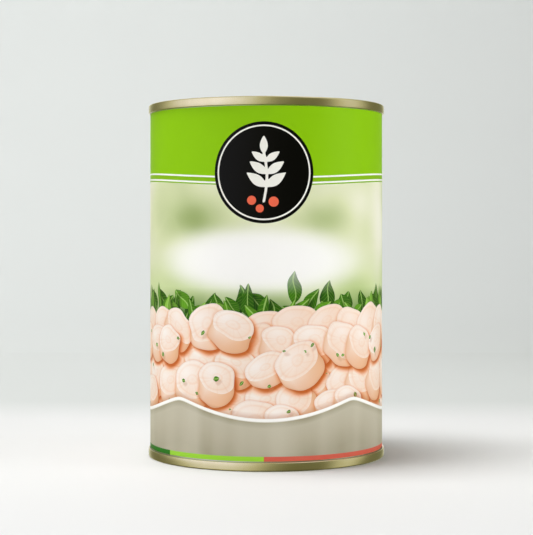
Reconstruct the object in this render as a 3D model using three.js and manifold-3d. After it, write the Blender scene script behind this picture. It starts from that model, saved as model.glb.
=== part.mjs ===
// A round three-piece food can of the 425 ml size, 73 x 110, filled with salsify batons in brine.
// Millimetres, +Z up. The origin is the centre of the circle that the can stands on, and -Y is the label's front.
//
// A tinplate body, welded down its side, is closed at both ends by a stamped end. Each end is joined to the body by a
// double seam: the end's edge is curled under the body's flange, so that the two sheets hook into each other, and a
// ring of sealing compound lies in the fold. A printed paper label is wrapped round the body and glued over itself at
// the back. Inside are two tiers of upright batons, covered by the brine.
import * as THREE from "three";
import { mergeVertices } from "three/addons/utils/BufferGeometryUtils.js";
import Module from "manifold-3d";

const wasm = await Module();
wasm.setup();

// Driving dimensions.
const CAN_HEIGHT = 110.5; // over both seams
const SEAM_RADIUS = 37.4; // outside of the seams
const SEAM_HEIGHT = 2.7;
const BODY_INNER_RADIUS = 36.5;
const BODY_SHEET = 0.15;
const END_SHEET = 0.18;
const PAPER = 0.1;
const FACETS = 48; // round every lathed piece, so that their flats lie parallel
const BEND_STEPS = 3; // in a sheet's half-circle bend
const SHOULDER_STEPS = 2; // in its quarter-circle bend

// The double seam, from the inside out: chuck wall, body wall, cover hook, body hook, seaming wall.
// Radii are those of each sheet's middle, and depths run inwards from the seam's flat edge.
const CHUCK_WALL_GAP = 0.06; // off the body wall's inside
const CHUCK_WALL_RADIUS = BODY_INNER_RADIUS - CHUCK_WALL_GAP - END_SHEET / 2;
const BODY_WALL_RADIUS = BODY_INNER_RADIUS + BODY_SHEET / 2;
const SEAMING_WALL_RADIUS = SEAM_RADIUS - END_SHEET / 2;
const SEAM_PITCH = (SEAMING_WALL_RADIUS - BODY_WALL_RADIUS) / 3; // from each of those four sheets to the next
const COVER_HOOK_RADIUS = BODY_WALL_RADIUS + SEAM_PITCH;
const BODY_HOOK_RADIUS = BODY_WALL_RADIUS + 2 * SEAM_PITCH;
const SEAM_SHOULDER = 0.3; // radius of the end's two bends at the seam's edge
const COVER_HOOK_DEPTH = 1.0; // where the cover hook stops
const BODY_FOLD_DEPTH = 0.62; // crest of the body's flange
const BODY_HOOK_DEPTH = 2.15; // where the body hook stops
const HOOK_BEND = SEAM_PITCH; // bend radius of both hooks

// The end's stamped panel, as radii and depths of the sheet's middle.
const COUNTERSINK_DEPTH = 3.4;
const COUNTERSINK_RADIUS = 36.1; // where the chuck wall meets the countersink
const COUNTERSINK_BEND = 0.45;
const PANEL_DEPTH = 2.4;
const PANEL_RADIUS = 34.7;
const RING_RADIUS = 32.2; // crest of the raised expansion ring
const RING_HALF_WIDTH = 1.1;
const RING_RISE = 0.7;
const STEP_RUN = 0.5; // radial run of each step
const STEPS = [
  { radius: 30.0, drop: 0.6 }, // outer step, down
  { radius: 25.2, drop: -0.5 }, // middle step, up
  { radius: 19.4, drop: -0.5 }, // inner step, up to the centre panel
];

// The body's welded side seam, at the back, where one edge of the sheet laps inside the other.
const WELD_WIDTH = 0.8;
const WELD_RISE = 0.12;
const WELD_END_GAP = 5.5; // the lap is ironed flat this near the seams

// The sealing compound's ring, in the crest of each fold.
const SEAL_THICKNESS = 0.2;
const SEAL_WIDTH = 0.4;
const SEAL_GAP = 0.04;

// The label.
const LABEL_GAP = 0.03; // off the body
const LABEL_TOP_GAP = 0.1; // off the top seam
const LABEL_BOTTOM_GAP = 0.3; // off the bottom seam
const LAP_FACETS = 2; // how far the label runs over its own start
const LAP_RAMP_FACETS = 1; // over which it climbs there
const LAP_CENTRE = 120; // degrees round from +X: at the back, a little off the weld

// The contents.
const BRINE_BOTTOM = 3.8;
const BRINE_LEVEL = 100.5;
const BRINE_GAP = 0.3; // off the body's wall and the weld
const BATON_CLEARANCE = 0.3;
const BATON_FLOOR = 5.9; // underside of the lower tier
const TIER_PITCH = 46.6;
const BATON_LENGTH = 45;
const BATON_LENGTH_SPREAD = 2.2;
const BATON_RADIUS = 8.3;
const BATON_RADIUS_SPREAD = 0.4;
const BATON_TAPER = 0.05; // share of its radius that a baton loses along its length
const BATON_LOBES = 0.035; // how far the root's section is from round
const BATON_EDGE = 1.3; // rounding of the cut ends, softened by cooking
const BATON_SIDES = 10;
const HOLE_SIDES = 20;
const RINGS = [
  { count: 9, radius: 26.9, turn: 20 },
  { count: 2, radius: 9, turn: 10 },
];
const SEED = 407;

const SMALL = 1e-4; // closer points than this are one

const MATERIALS = {
  lacquered_tinplate: { color: 0xcabf8e, roughness: 0.32, metalness: 1 },
  tinplate: { color: 0xc9c8c2, roughness: 0.35, metalness: 1 },
  sealing_compound: { color: 0xb9b2a0, roughness: 0.8, metalness: 0 },
  printed_paper: { color: 0x8cc61d, roughness: 0.45, metalness: 0 },
  salsify_flesh: { color: 0xf3d9bd, roughness: 0.5, metalness: 0 },
  brine: { color: 0xe9e4c6, roughness: 0.05, metalness: 0 },
};

const radians = THREE.MathUtils.degToRad;

// Park and Miller's generator: the same draws each time, from 0 to 1.
let draw = SEED;
function random() {
  draw = (draw * 16807) % 2147483647;
  return draw / 2147483647;
}
const spread = (middle, range) => middle + range * (random() - 0.5);

// Points along an arc of a section, from one angle to the other, in degrees, both ends included.
function arc(radius, depth, bend, from, to, steps) {
  const points = [];
  for (let i = 0; i <= steps; i++) {
    const angle = radians(from + ((to - from) * i) / steps);
    points.push(new THREE.Vector2(radius + bend * Math.cos(angle), depth + bend * Math.sin(angle)));
  }
  return points;
}

// The closed outline of a sheet that follows a middle line: each point is moved half the thickness to either side,
// along the bisector of its two stretches. A line that starts on the axis keeps its end there.
function sheetOutline(line, thickness) {
  const side = (sign) =>
    line.map((point, i) => {
      const before = line[Math.max(i - 1, 0)];
      const after = line[Math.min(i + 1, line.length - 1)];
      const into = point.clone().sub(before).normalize();
      const out = after.clone().sub(point).normalize();
      const along = into.clone().add(out).normalize();
      const single = i === 0 || i === line.length - 1;
      const stretch = single ? 1 : 1 / Math.max(along.dot(into), 0.5);
      const normal = new THREE.Vector2(-along.y, along.x);
      return point.clone().addScaledVector(normal, (sign * stretch * thickness) / 2);
    });
  const outline = [...side(1), ...side(-1).reverse()];
  outline.forEach((point) => {
    point.x = Math.abs(point.x) < SMALL ? 0 : point.x;
  });
  return outline.concat(line[0].x < SMALL ? [] : [outline[0].clone()]);
}

// A section's signed area, which tells which way round it runs.
function turns(outline) {
  return outline.reduce((sum, point, i) => {
    const next = outline[(i + 1) % outline.length];
    return sum + point.x * next.y - next.x * point.y;
  }, 0);
}

// Lathes a closed section of radii and heights about +Z. LatheGeometry turns about +Y, so the result is tipped up.
function lathe(outline) {
  const ordered = turns(outline) > 0 ? outline : [...outline].reverse();
  const geometry = new THREE.LatheGeometry(ordered, FACETS);
  geometry.rotateX(Math.PI / 2);
  return geometry;
}

// Sets a section given by depth at the can's top or its bottom.
function setAtEnd(section, atTop) {
  return section.map((p) => new THREE.Vector2(p.x, atTop ? CAN_HEIGHT - p.y : p.y));
}

// The middle line of a stamped end, from its centre out to the tip of the cover hook.
function endLine() {
  const line = [];
  const at = (radius, depth) => line.push(new THREE.Vector2(radius, depth));
  const centreDepth = PANEL_DEPTH + STEPS.reduce((sum, step) => sum + step.drop, 0);
  at(0, centreDepth);
  let depth = centreDepth;
  for (const { radius, drop } of [...STEPS].reverse()) {
    at(radius - STEP_RUN / 2, depth);
    depth -= drop;
    at(radius + STEP_RUN / 2, depth);
  }
  at(RING_RADIUS - RING_HALF_WIDTH, PANEL_DEPTH);
  at(RING_RADIUS, PANEL_DEPTH - RING_RISE);
  at(RING_RADIUS + RING_HALF_WIDTH, PANEL_DEPTH);
  at(PANEL_RADIUS, PANEL_DEPTH);
  const countersink = COUNTERSINK_RADIUS - COUNTERSINK_BEND;
  const bendDepth = COUNTERSINK_DEPTH - COUNTERSINK_BEND;
  line.push(...arc(countersink, bendDepth, COUNTERSINK_BEND, 180, 0, BEND_STEPS));
  const inner = CHUCK_WALL_RADIUS + SEAM_SHOULDER;
  const outer = SEAMING_WALL_RADIUS - SEAM_SHOULDER;
  const shoulderDepth = END_SHEET / 2 + SEAM_SHOULDER;
  line.push(...arc(inner, shoulderDepth, SEAM_SHOULDER, 180, 270, SHOULDER_STEPS));
  line.push(...arc(outer, shoulderDepth, SEAM_SHOULDER, 270, 360, SHOULDER_STEPS));
  const curlDepth = SEAM_HEIGHT - END_SHEET / 2 - HOOK_BEND;
  line.push(...arc(SEAMING_WALL_RADIUS - HOOK_BEND, curlDepth, HOOK_BEND, 0, 180, BEND_STEPS));
  at(COVER_HOOK_RADIUS, COVER_HOOK_DEPTH);
  return line;
}

// A stamped end, the same at the top and the bottom.
function endGeometry(atTop) {
  return lathe(setAtEnd(sheetOutline(endLine(), END_SHEET), atTop));
}

// The body: a plain wall whose two edges are flanged out and folded back into the body hooks.
function bodyLine() {
  const foldDepth = BODY_FOLD_DEPTH + HOOK_BEND;
  const fold = arc(BODY_WALL_RADIUS + HOOK_BEND, foldDepth, HOOK_BEND, 180, 360, BEND_STEPS);
  const hook = [...fold, new THREE.Vector2(BODY_HOOK_RADIUS, BODY_HOOK_DEPTH)];
  return [...setAtEnd(hook, false).reverse(), ...setAtEnd(hook, true)];
}

// Turns a closed three.js geometry into a manifold solid, and back.
function solid(geometry) {
  const bare = geometry.clone();
  bare.deleteAttribute("normal");
  bare.deleteAttribute("uv");
  const merged = mergeVertices(bare, SMALL);
  const vertProperties = new Float32Array(merged.attributes.position.array);
  const triVerts = new Uint32Array(merged.index.array);
  return new wasm.Manifold(new wasm.Mesh({ numProp: 3, vertProperties, triVerts }));
}
function geometryOf(manifold) {
  const { vertProperties, triVerts } = manifold.getMesh();
  const geometry = new THREE.BufferGeometry();
  geometry.setAttribute("position", new THREE.BufferAttribute(new Float32Array(vertProperties), 3));
  geometry.setIndex(new THREE.BufferAttribute(new Uint32Array(triVerts), 1));
  geometry.computeVertexNormals();
  return geometry;
}

// The body with its weld, a strip proud of the inner wall along the back.
function bodyGeometry() {
  const height = CAN_HEIGHT - 2 * WELD_END_GAP;
  const weld = new THREE.BoxGeometry(WELD_WIDTH, WELD_RISE + BODY_SHEET / 2, height);
  weld.translate(0, BODY_INNER_RADIUS + (BODY_SHEET / 2 - WELD_RISE) / 2, CAN_HEIGHT / 2);
  return geometryOf(solid(lathe(sheetOutline(bodyLine(), BODY_SHEET))).add(solid(weld)));
}

// A ring of sealing compound, between the end and the crest of the body's flange.
function sealGeometry(atTop) {
  const near = END_SHEET + SEAL_GAP;
  const far = near + SEAL_THICKNESS;
  const inner = COVER_HOOK_RADIUS - SEAL_WIDTH / 2;
  const outer = COVER_HOOK_RADIUS + SEAL_WIDTH / 2;
  const corners = [[inner, near], [outer, near], [outer, far], [inner, far], [inner, near]];
  return lathe(setAtEnd(corners.map(([radius, depth]) => new THREE.Vector2(radius, depth)), atTop));
}

// The label: one strip of paper wound once round the body and a little further, over its own start.
function labelGeometry() {
  const facet = 360 / FACETS;
  const lapStart = Math.round(LAP_CENTRE / facet) - LAP_FACETS / 2;
  const last = FACETS + LAP_FACETS;
  const base = BODY_INNER_RADIUS + BODY_SHEET + LABEL_GAP;
  const climb = PAPER + LABEL_GAP;
  const point = (i, offset) => {
    const share = THREE.MathUtils.clamp((i - FACETS + LAP_RAMP_FACETS) / LAP_RAMP_FACETS, 0, 1);
    const radius = base + offset + share * climb;
    const angle = radians((lapStart + i) * facet);
    return new THREE.Vector2(radius * Math.cos(angle), radius * Math.sin(angle));
  };
  const steps = Array.from({ length: last + 1 }, (_, i) => i);
  const inside = steps.map((i) => point(i, 0));
  const outside = steps.map((i) => point(i, PAPER)).reverse();
  const depth = CAN_HEIGHT - 2 * SEAM_HEIGHT - LABEL_TOP_GAP - LABEL_BOTTOM_GAP;
  const strip = new THREE.Shape([...inside, ...outside]);
  const geometry = new THREE.ExtrudeGeometry(strip, { depth, bevelEnabled: false });
  geometry.translate(0, 0, SEAM_HEIGHT + LABEL_BOTTOM_GAP);
  return geometry;
}

// Where each baton stands, how long and thick it is: rings of columns, each column two batons high.
function batonPlan() {
  const plan = [];
  for (const ring of RINGS) {
    for (let i = 0; i < ring.count; i++) {
      const angle = radians(ring.turn + (360 * i) / ring.count);
      const x = ring.radius * Math.cos(angle);
      const y = ring.radius * Math.sin(angle);
      for (const tier of [0, 1]) {
        const radius = spread(BATON_RADIUS, BATON_RADIUS_SPREAD);
        const length = spread(BATON_LENGTH, BATON_LENGTH_SPREAD);
        const bottom = BATON_FLOOR + tier * TIER_PITCH;
        plan.push({ x, y, tier, radius, length, bottom, phase: 2 * Math.PI * random() });
      }
    }
  }
  return plan;
}

// A baton: a length of peeled root, cut square at both ends, tapering a little and not quite round.
function batonGeometry({ radius, length, phase }) {
  const edge = BATON_EDGE;
  const profile = [
    [0, 0],
    [radius - edge, 0],
    [radius, edge],
    [radius, length / 2],
    [radius, length - edge],
    [radius - edge, length],
    [0, length],
  ].map(([r, z]) => new THREE.Vector2(r, z));
  const geometry = new THREE.LatheGeometry(profile, BATON_SIDES);
  geometry.rotateX(Math.PI / 2);
  const position = geometry.attributes.position;
  for (let i = 0; i < position.count; i++) {
    const x = position.getX(i);
    const y = position.getY(i);
    const z = position.getZ(i);
    const around = Math.atan2(y, x);
    const taper = 1 - (BATON_TAPER * z) / length;
    const lobes = 1 - BATON_LOBES * (0.5 + 0.5 * Math.cos(2 * around + phase));
    position.setXYZ(i, x * taper * lobes, y * taper * lobes, z);
  }
  return geometry;
}

// The brine: it fills the can up to its level, round a plain hole for each column of batons.
function brineGeometry(plan) {
  const height = BRINE_LEVEL - BRINE_BOTTOM;
  const outline = [
    [0, 0],
    [BODY_INNER_RADIUS - BRINE_GAP, 0],
    [BODY_INNER_RADIUS - BRINE_GAP, height],
    [0, height],
  ].map(([r, z]) => new THREE.Vector2(r, z + BRINE_BOTTOM));
  let brine = solid(lathe(outline));
  for (const { x, y } of plan.filter((baton) => baton.tier === 0)) {
    const column = plan.filter((baton) => baton.x === x && baton.y === y);
    const radius = Math.max(...column.map((baton) => baton.radius)) + BATON_CLEARANCE;
    const hole = new THREE.CylinderGeometry(radius, radius, height, HOLE_SIDES);
    hole.rotateX(Math.PI / 2);
    hole.translate(x, y, BATON_FLOOR - BATON_CLEARANCE + height / 2);
    brine = brine.subtract(solid(hole));
  }
  return geometryOf(brine);
}

const can = new THREE.Group();
function addPiece(name, geometry, material) {
  const mesh = new THREE.Mesh(geometry, new THREE.MeshStandardMaterial(MATERIALS[material]));
  mesh.name = name;
  can.add(mesh);
  return mesh;
}

addPiece("can_body", bodyGeometry(), "tinplate");
addPiece("top_end", endGeometry(true), "lacquered_tinplate");
addPiece("bottom_end", endGeometry(false), "lacquered_tinplate");
addPiece("top_seam_seal", sealGeometry(true), "sealing_compound");
addPiece("bottom_seam_seal", sealGeometry(false), "sealing_compound");
addPiece("label", labelGeometry(), "printed_paper");

const plan = batonPlan();
addPiece("brine", brineGeometry(plan), "brine");
const tierNames = ["lower", "upper"];
const numbers = [0, 0];
for (const baton of plan) {
  numbers[baton.tier] += 1;
  const name = `salsify_${tierNames[baton.tier]}_${String(numbers[baton.tier]).padStart(2, "0")}`;
  addPiece(name, batonGeometry(baton), "salsify_flesh").position.set(baton.x, baton.y, baton.bottom);
}

export default can;
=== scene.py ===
"""The looks of a sealed steel food can: its gold-lacquered ends, tinplate body, printed label and contents.

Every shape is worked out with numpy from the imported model's own sizes, and stands for the plain solid of its
name. Lengths are in metres, and MM turns a size in millimetres into them. Turns round the can are counted
from the label's front, -Y, towards +X.
"""

import bpy
import numpy as np
from mathutils import Matrix, Vector


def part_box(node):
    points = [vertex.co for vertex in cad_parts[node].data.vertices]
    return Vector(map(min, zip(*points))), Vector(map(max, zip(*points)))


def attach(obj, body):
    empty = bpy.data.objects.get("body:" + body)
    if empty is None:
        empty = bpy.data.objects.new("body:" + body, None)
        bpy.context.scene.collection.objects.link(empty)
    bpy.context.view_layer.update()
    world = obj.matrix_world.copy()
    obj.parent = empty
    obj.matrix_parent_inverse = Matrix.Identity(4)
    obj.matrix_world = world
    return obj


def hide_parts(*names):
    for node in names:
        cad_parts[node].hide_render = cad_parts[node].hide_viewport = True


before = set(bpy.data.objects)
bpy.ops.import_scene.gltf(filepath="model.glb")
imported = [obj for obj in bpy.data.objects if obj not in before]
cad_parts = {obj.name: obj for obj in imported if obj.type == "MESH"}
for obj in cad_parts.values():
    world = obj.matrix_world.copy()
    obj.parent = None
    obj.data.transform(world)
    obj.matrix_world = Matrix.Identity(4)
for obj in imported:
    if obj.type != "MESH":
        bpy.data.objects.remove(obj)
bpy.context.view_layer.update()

MM = 0.001

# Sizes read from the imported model.
CAN_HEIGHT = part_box("top_end")[1].z
SEAM_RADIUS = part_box("top_end")[1].x
LABEL_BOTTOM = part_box("label")[0].z
LABEL_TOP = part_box("label")[1].z

# Sizes of the sheet and its folds, as in the part's source.
SEAM_HEIGHT = 2.7 * MM
BODY_INNER_RADIUS = 36.5 * MM
BODY_SHEET = 0.15 * MM
END_SHEET = 0.18 * MM
CHUCK_WALL_GAP = 0.06 * MM
CHUCK_WALL_RADIUS = BODY_INNER_RADIUS - CHUCK_WALL_GAP - END_SHEET / 2
BODY_WALL_RADIUS = BODY_INNER_RADIUS + BODY_SHEET / 2
SEAMING_WALL_RADIUS = SEAM_RADIUS - END_SHEET / 2
SEAM_PITCH = (SEAMING_WALL_RADIUS - BODY_WALL_RADIUS) / 3
COVER_HOOK_RADIUS = BODY_WALL_RADIUS + SEAM_PITCH
BODY_HOOK_RADIUS = BODY_WALL_RADIUS + 2 * SEAM_PITCH
SEAM_SHOULDER = 0.4 * MM
SEAM_BARREL = 0.09 * MM  # how far the rolled seam's middle stands out
SEAM_BARREL_BEND = 8 * MM
COVER_HOOK_BEND = 0.9 * SEAM_PITCH
BODY_HOOK_BEND = 0.95 * SEAM_PITCH
COVER_HOOK_DEPTH = 1.0 * MM
BODY_FOLD_DEPTH = 0.62 * MM
BODY_HOOK_DEPTH = 2.15 * MM
COUNTERSINK_DEPTH = 3.4 * MM
COUNTERSINK_RADIUS = 36.1 * MM
COUNTERSINK_BEND = 0.45 * MM
PANEL_DEPTH = 2.4 * MM
PANEL_RADIUS = 34.7 * MM
RING_RADIUS = 32.2 * MM
RING_HALF_WIDTH = 1.1 * MM
RING_RISE = 0.7 * MM
STEP_RUN = 0.5 * MM
STEP_BEND = 0.5 * MM
STEPS = [(30.0 * MM, 0.6 * MM), (25.2 * MM, -0.5 * MM), (19.4 * MM, -0.5 * MM)]  # radius, drop
CREST_REACH = 0.35 * MM  # how far the lacquer is rubbed, from the seam's crest
LIP_REACH = 0.3 * MM
WELD_TURN = np.pi
WELD_WIDTH = 0.8 * MM
WELD_RISE = 0.1 * MM
WELD_END_GAP = 5.5 * MM
WELD_END_RAMP = 2 * MM
WELD_STEPS = 18

# The label's strip: where it starts and ends, and how it climbs over its own start.
PAPER = 0.1 * MM
LABEL_GAP = 0.03 * MM
LABEL_RADIUS = BODY_INNER_RADIUS + BODY_SHEET + LABEL_GAP + PAPER
LAP_START = np.radians(-157.5)
LAP_TURN = np.radians(15)
LAP_RAMP = np.radians(7.5)
LAP_LIFT = 0.05 * MM  # the glued end stands off a little
LAP_LIFT_TURN = np.radians(2.5)

TURN_STEPS = 288  # round each metal piece
BEND_STEPS = 6

# The camera. Rows and columns are pixels of the picture.
PICTURE = (533, 535)  # columns, rows
FOCAL_PIXELS = 1488
HORIZON_ROW = 238.7
AXIS_COLUMN = 266.2
CAMERA_DISTANCE = 473.9 * MM
CAMERA_HEIGHT = 68.5 * MM
SENSOR = 36.0


# Shapes


def rounded_line(corners):
    """A line through corners (x, y, bend): each inner corner becomes an arc of radius bend.

    The arc touches the stretches on both sides. A corner whose bend is 0 is passed through as it is.
    """
    places = np.array([corner[:2] for corner in corners], float)
    line = [places[:1]]
    for i in range(1, len(corners) - 1):
        bend = corners[i][2]
        if bend == 0:
            line.append(places[i : i + 1])
            continue
        back = places[i - 1] - places[i]
        ahead = places[i + 1] - places[i]
        back = back / np.hypot(*back)
        ahead = ahead / np.hypot(*ahead)
        half = np.arccos(np.clip(back @ ahead, -1, 1)) / 2
        middle = (back + ahead) / max(np.hypot(*(back + ahead)), 1e-9)
        centre = places[i] + middle * bend / np.sin(half)
        first = places[i] + back * bend / np.tan(half) - centre
        last = places[i] + ahead * bend / np.tan(half) - centre
        start = np.arctan2(first[1], first[0])
        sweep = (np.arctan2(last[1], last[0]) - start + np.pi) % (2 * np.pi) - np.pi
        angles = start + sweep * np.linspace(0, 1, BEND_STEPS + 1)
        line.append(centre + bend * np.stack([np.cos(angles), np.sin(angles)], 1))
    line.append(places[-1:])
    return np.concatenate(line)


def sheet_outline(line, thickness):
    """A sheet's closed outline: its middle line moved half the thickness to each side, along its normal."""
    along = np.gradient(line, axis=0)
    along /= np.hypot(along[:, 0], along[:, 1])[:, None]
    normal = np.stack([-along[:, 1], along[:, 0]], 1)
    sides = [line + normal * thickness / 2, (line - normal * thickness / 2)[::-1]]
    outline = np.concatenate(sides)
    outline[np.abs(outline[:, 0]) < 1e-7, 0] = 0
    return outline


def even_turns(count):
    """So many turns round the axis, evenly spaced, in radians."""
    return np.linspace(0, 2 * np.pi, count, endpoint=False)


def grid_places(columns, rows):
    """The column and row of each cell of a grid, as two flat arrays."""
    column, row = np.meshgrid(np.arange(columns), np.arange(rows), indexing="ij")
    return column.ravel(), row.ravel()


def mesh_piece(name, points, faces, sharp=40):
    """A mesh object from points (n, 3) and a list of face arrays, each (m, corners).

    Edges that turn by more than sharp degrees stay crisp.
    """
    corners = np.concatenate([np.ravel(face) for face in faces]).astype(np.int32)
    counts = np.concatenate([np.full(len(face), face.shape[1]) for face in faces])
    starts = np.concatenate([[0], np.cumsum(counts)[:-1]]).astype(np.int32)
    mesh = bpy.data.meshes.new(name)
    mesh.vertices.add(len(points))
    mesh.vertices.foreach_set("co", points.astype(np.float32).ravel())
    mesh.loops.add(len(corners))
    mesh.loops.foreach_set("vertex_index", corners)
    mesh.polygons.add(len(counts))
    mesh.polygons.foreach_set("loop_start", starts)
    mesh.update(calc_edges=True)
    mesh.shade_smooth()
    mesh.set_sharp_from_angle(angle=np.radians(sharp))
    piece = bpy.data.objects.new(name, mesh)
    bpy.context.scene.collection.objects.link(piece)
    return piece


def lathe(name, outline, turns=None, warp=None, sharp=40):
    """A closed section (radius, height) turned about +Z: the point at turn t is (r sin t, -r cos t, z).

    A section that starts and ends on the axis closes in a pole at both. warp moves the radii, given the grids
    of radius, height and turn. The section is first put in the order that faces its surface outwards.
    """
    x, y = outline.T
    if np.sum(x * np.roll(y, -1) - np.roll(x, -1) * y) < 0:
        outline = outline[::-1]
    if turns is None:
        turns = even_turns(TURN_STEPS)
    poles = outline[0, 0] == 0 and outline[-1, 0] == 0
    ring = outline[1:-1] if poles else outline
    radius, turn = np.meshgrid(ring[:, 0], turns)
    height = np.broadcast_to(ring[:, 1], radius.shape)
    if warp:
        radius = warp(radius, height, turn)
    points = np.stack([radius * np.sin(turn), -radius * np.cos(turn), height], 2).reshape(-1, 3)
    across = len(ring)
    i, j = grid_places(len(turns), across - 1 if poles else across)
    following = (i + 1) % len(turns)
    above = (j + 1) % across
    quads = [i * across + j, following * across + j, following * across + above, i * across + above]
    faces = [np.stack(quads, 1)]
    if poles:
        low, high = len(points), len(points) + 1
        points = np.concatenate([points, [[0, 0, outline[0, 1]], [0, 0, outline[-1, 1]]]])
        column = np.arange(len(turns))
        after = (column + 1) % len(turns)
        bottom = [np.full_like(column, low), after * across, column * across]
        top = [column * across + across - 1, after * across + across - 1, np.full_like(column, high)]
        faces += [np.stack(bottom, 1), np.stack(top, 1)]
    return mesh_piece(name, points, faces, sharp)


def give(piece, name, values):
    """Stores one number or one vector for each point of a piece, for its material to read."""
    values = np.asarray(values, np.float32)
    is_vector = values.size == 3 * len(piece.data.vertices)
    field = piece.data.attributes.new(name, "FLOAT_VECTOR" if is_vector else "FLOAT", "POINT")
    field.data.foreach_set("vector" if is_vector else "value", values.ravel())


def places_of(piece):
    """A piece's points as an array."""
    places = np.empty(len(piece.data.vertices) * 3, np.float32)
    piece.data.vertices.foreach_get("co", places)
    return places.reshape(-1, 3).astype(float)


# Nodes


def tint(code, alpha=1.0):
    """An sRGB hex colour as linear red, green and blue, with alpha."""
    srgb = np.array([int(code[i : i + 2], 16) for i in (1, 3, 5)]) / 255
    linear = np.where(srgb <= 0.04045, srgb / 12.92, ((srgb + 0.055) / 1.055) ** 2.4)
    return (*linear, alpha)


def add(tree, kind, inputs=None, stops=None, blend="LINEAR", **settings):
    """Adds a node with its settings and its ramp's stops, and sets or links its inputs, by name or number.

    An input may be given a value, a socket, or a node, which stands for its first output in use.
    """
    made = tree.nodes.new(kind)
    for name, value in settings.items():
        setattr(made, name, value)
    if stops:
        made.color_ramp.interpolation = blend
        made.color_ramp.elements.remove(made.color_ramp.elements[1])
        made.color_ramp.elements[0].position = stops[0][0]
        made.color_ramp.elements[0].color = stops[0][1]
        for position, colour in stops[1:]:
            made.color_ramp.elements.new(position).color = colour
    for key, value in (inputs or {}).items():
        if isinstance(value, bpy.types.Node):
            value = next(output for output in value.outputs if output.enabled)
        if isinstance(value, bpy.types.NodeSocket):
            tree.links.new(value, made.inputs[key])
        else:
            made.inputs[key].default_value = value
    return made


def new_material(name):
    """An empty material, with its node tree."""
    material = bpy.data.materials.new(name)
    material.use_nodes = True
    material.node_tree.nodes.clear()
    return material, material.node_tree


# Metal pieces


def end_line():
    """A stamped end's middle line (radius, depth), from its centre out to the tip of its cover hook."""
    depth = PANEL_DEPTH + sum(drop for _, drop in STEPS)
    corners = [(0, depth, 0)]
    for radius, drop in reversed(STEPS):
        corners.append((radius - STEP_RUN / 2, depth, STEP_BEND))
        depth -= drop
        corners.append((radius + STEP_RUN / 2, depth, STEP_BEND))
    seaming_top = SEAMING_WALL_RADIUS - SEAM_BARREL
    fold = SEAM_HEIGHT - END_SHEET / 2
    corners += [
        (RING_RADIUS - RING_HALF_WIDTH, PANEL_DEPTH, STEP_BEND),
        (RING_RADIUS, PANEL_DEPTH - RING_RISE, STEP_BEND),
        (RING_RADIUS + RING_HALF_WIDTH, PANEL_DEPTH, STEP_BEND),
        (PANEL_RADIUS, PANEL_DEPTH, STEP_BEND / 2),
        (COUNTERSINK_RADIUS - 2 * COUNTERSINK_BEND, COUNTERSINK_DEPTH, COUNTERSINK_BEND),
        (COUNTERSINK_RADIUS, COUNTERSINK_DEPTH, COUNTERSINK_BEND),
        (CHUCK_WALL_RADIUS, END_SHEET / 2, SEAM_SHOULDER),
        (seaming_top, END_SHEET / 2, SEAM_SHOULDER),
        (SEAMING_WALL_RADIUS, SEAM_HEIGHT / 2, SEAM_BARREL_BEND),
        (seaming_top, fold, COVER_HOOK_BEND),
        (COVER_HOOK_RADIUS, fold, COVER_HOOK_BEND),
        (COVER_HOOK_RADIUS, COVER_HOOK_DEPTH, 0),
    ]
    return rounded_line(corners)


def make_end(name, at_top):
    """A stamped end: its sheet's section, set at the can's top or bottom and turned about the axis.

    Its seam is rubbed at the crest and the lip, by exp(-d ** 2), d being the way from there over its reach.
    """
    outline = sheet_outline(end_line(), END_SHEET)
    depth = outline[:, 1]
    outline[:, 1] = CAN_HEIGHT - depth if at_top else depth
    end = lathe(f"{name}_sheet", outline)
    places = places_of(end)
    radius = np.hypot(places[:, 0], places[:, 1])
    depth = CAN_HEIGHT - places[:, 2] if at_top else places[:, 2]
    crest = np.exp(-((depth / CREST_REACH) ** 2))
    lip = np.exp(-(((depth - SEAM_HEIGHT) / LIP_REACH) ** 2))
    give(end, "rubbed", (crest + lip) * (radius > CHUCK_WALL_RADIUS - END_SHEET))
    return end


def weld_turns():
    """Turns round the body, spaced evenly but for a close group across the weld."""
    half = 1.5 * WELD_WIDTH / BODY_INNER_RADIUS
    even = np.linspace(WELD_TURN + half, WELD_TURN - half + 2 * np.pi, TURN_STEPS)
    close_group = np.linspace(WELD_TURN - half, WELD_TURN + half, WELD_STEPS)[1:-1]
    return np.concatenate([close_group, even])


def raise_weld(radius, height, turn):
    """The welded lap: a smooth ridge on the inner wall, across the weld's width and short of both seams."""
    across = (turn - WELD_TURN) * BODY_INNER_RADIUS / (WELD_WIDTH / 2)
    from_edge = np.minimum(height, CAN_HEIGHT - height)
    along = np.clip((from_edge - WELD_END_GAP) / WELD_END_RAMP, 0, 1)
    inner = radius < BODY_WALL_RADIUS - BODY_SHEET / 4
    return radius - inner * WELD_RISE * along * np.exp(-(across**4))


def make_body():
    """The body: a plain wall, its edges flanged out and folded back as hooks, with the weld down its back."""
    hook = [
        (BODY_HOOK_RADIUS, BODY_HOOK_DEPTH, 0),
        (BODY_HOOK_RADIUS, BODY_FOLD_DEPTH, BODY_HOOK_BEND),
        (BODY_WALL_RADIUS, BODY_FOLD_DEPTH, BODY_HOOK_BEND),
    ]
    weld_end = [(BODY_WALL_RADIUS, WELD_END_GAP + rise, 0) for rise in np.linspace(0, WELD_END_RAMP, 5)]
    bottom = hook + weld_end
    top = [(radius, CAN_HEIGHT - depth, bend) for radius, depth, bend in reversed(bottom)]
    outline = sheet_outline(rounded_line(bottom + top), BODY_SHEET)
    return lathe("can_body_sheet", outline, weld_turns(), raise_weld)


# The printed label. Lengths on its artwork are in millimetres: u along the wrap from the front, v upwards.

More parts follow.
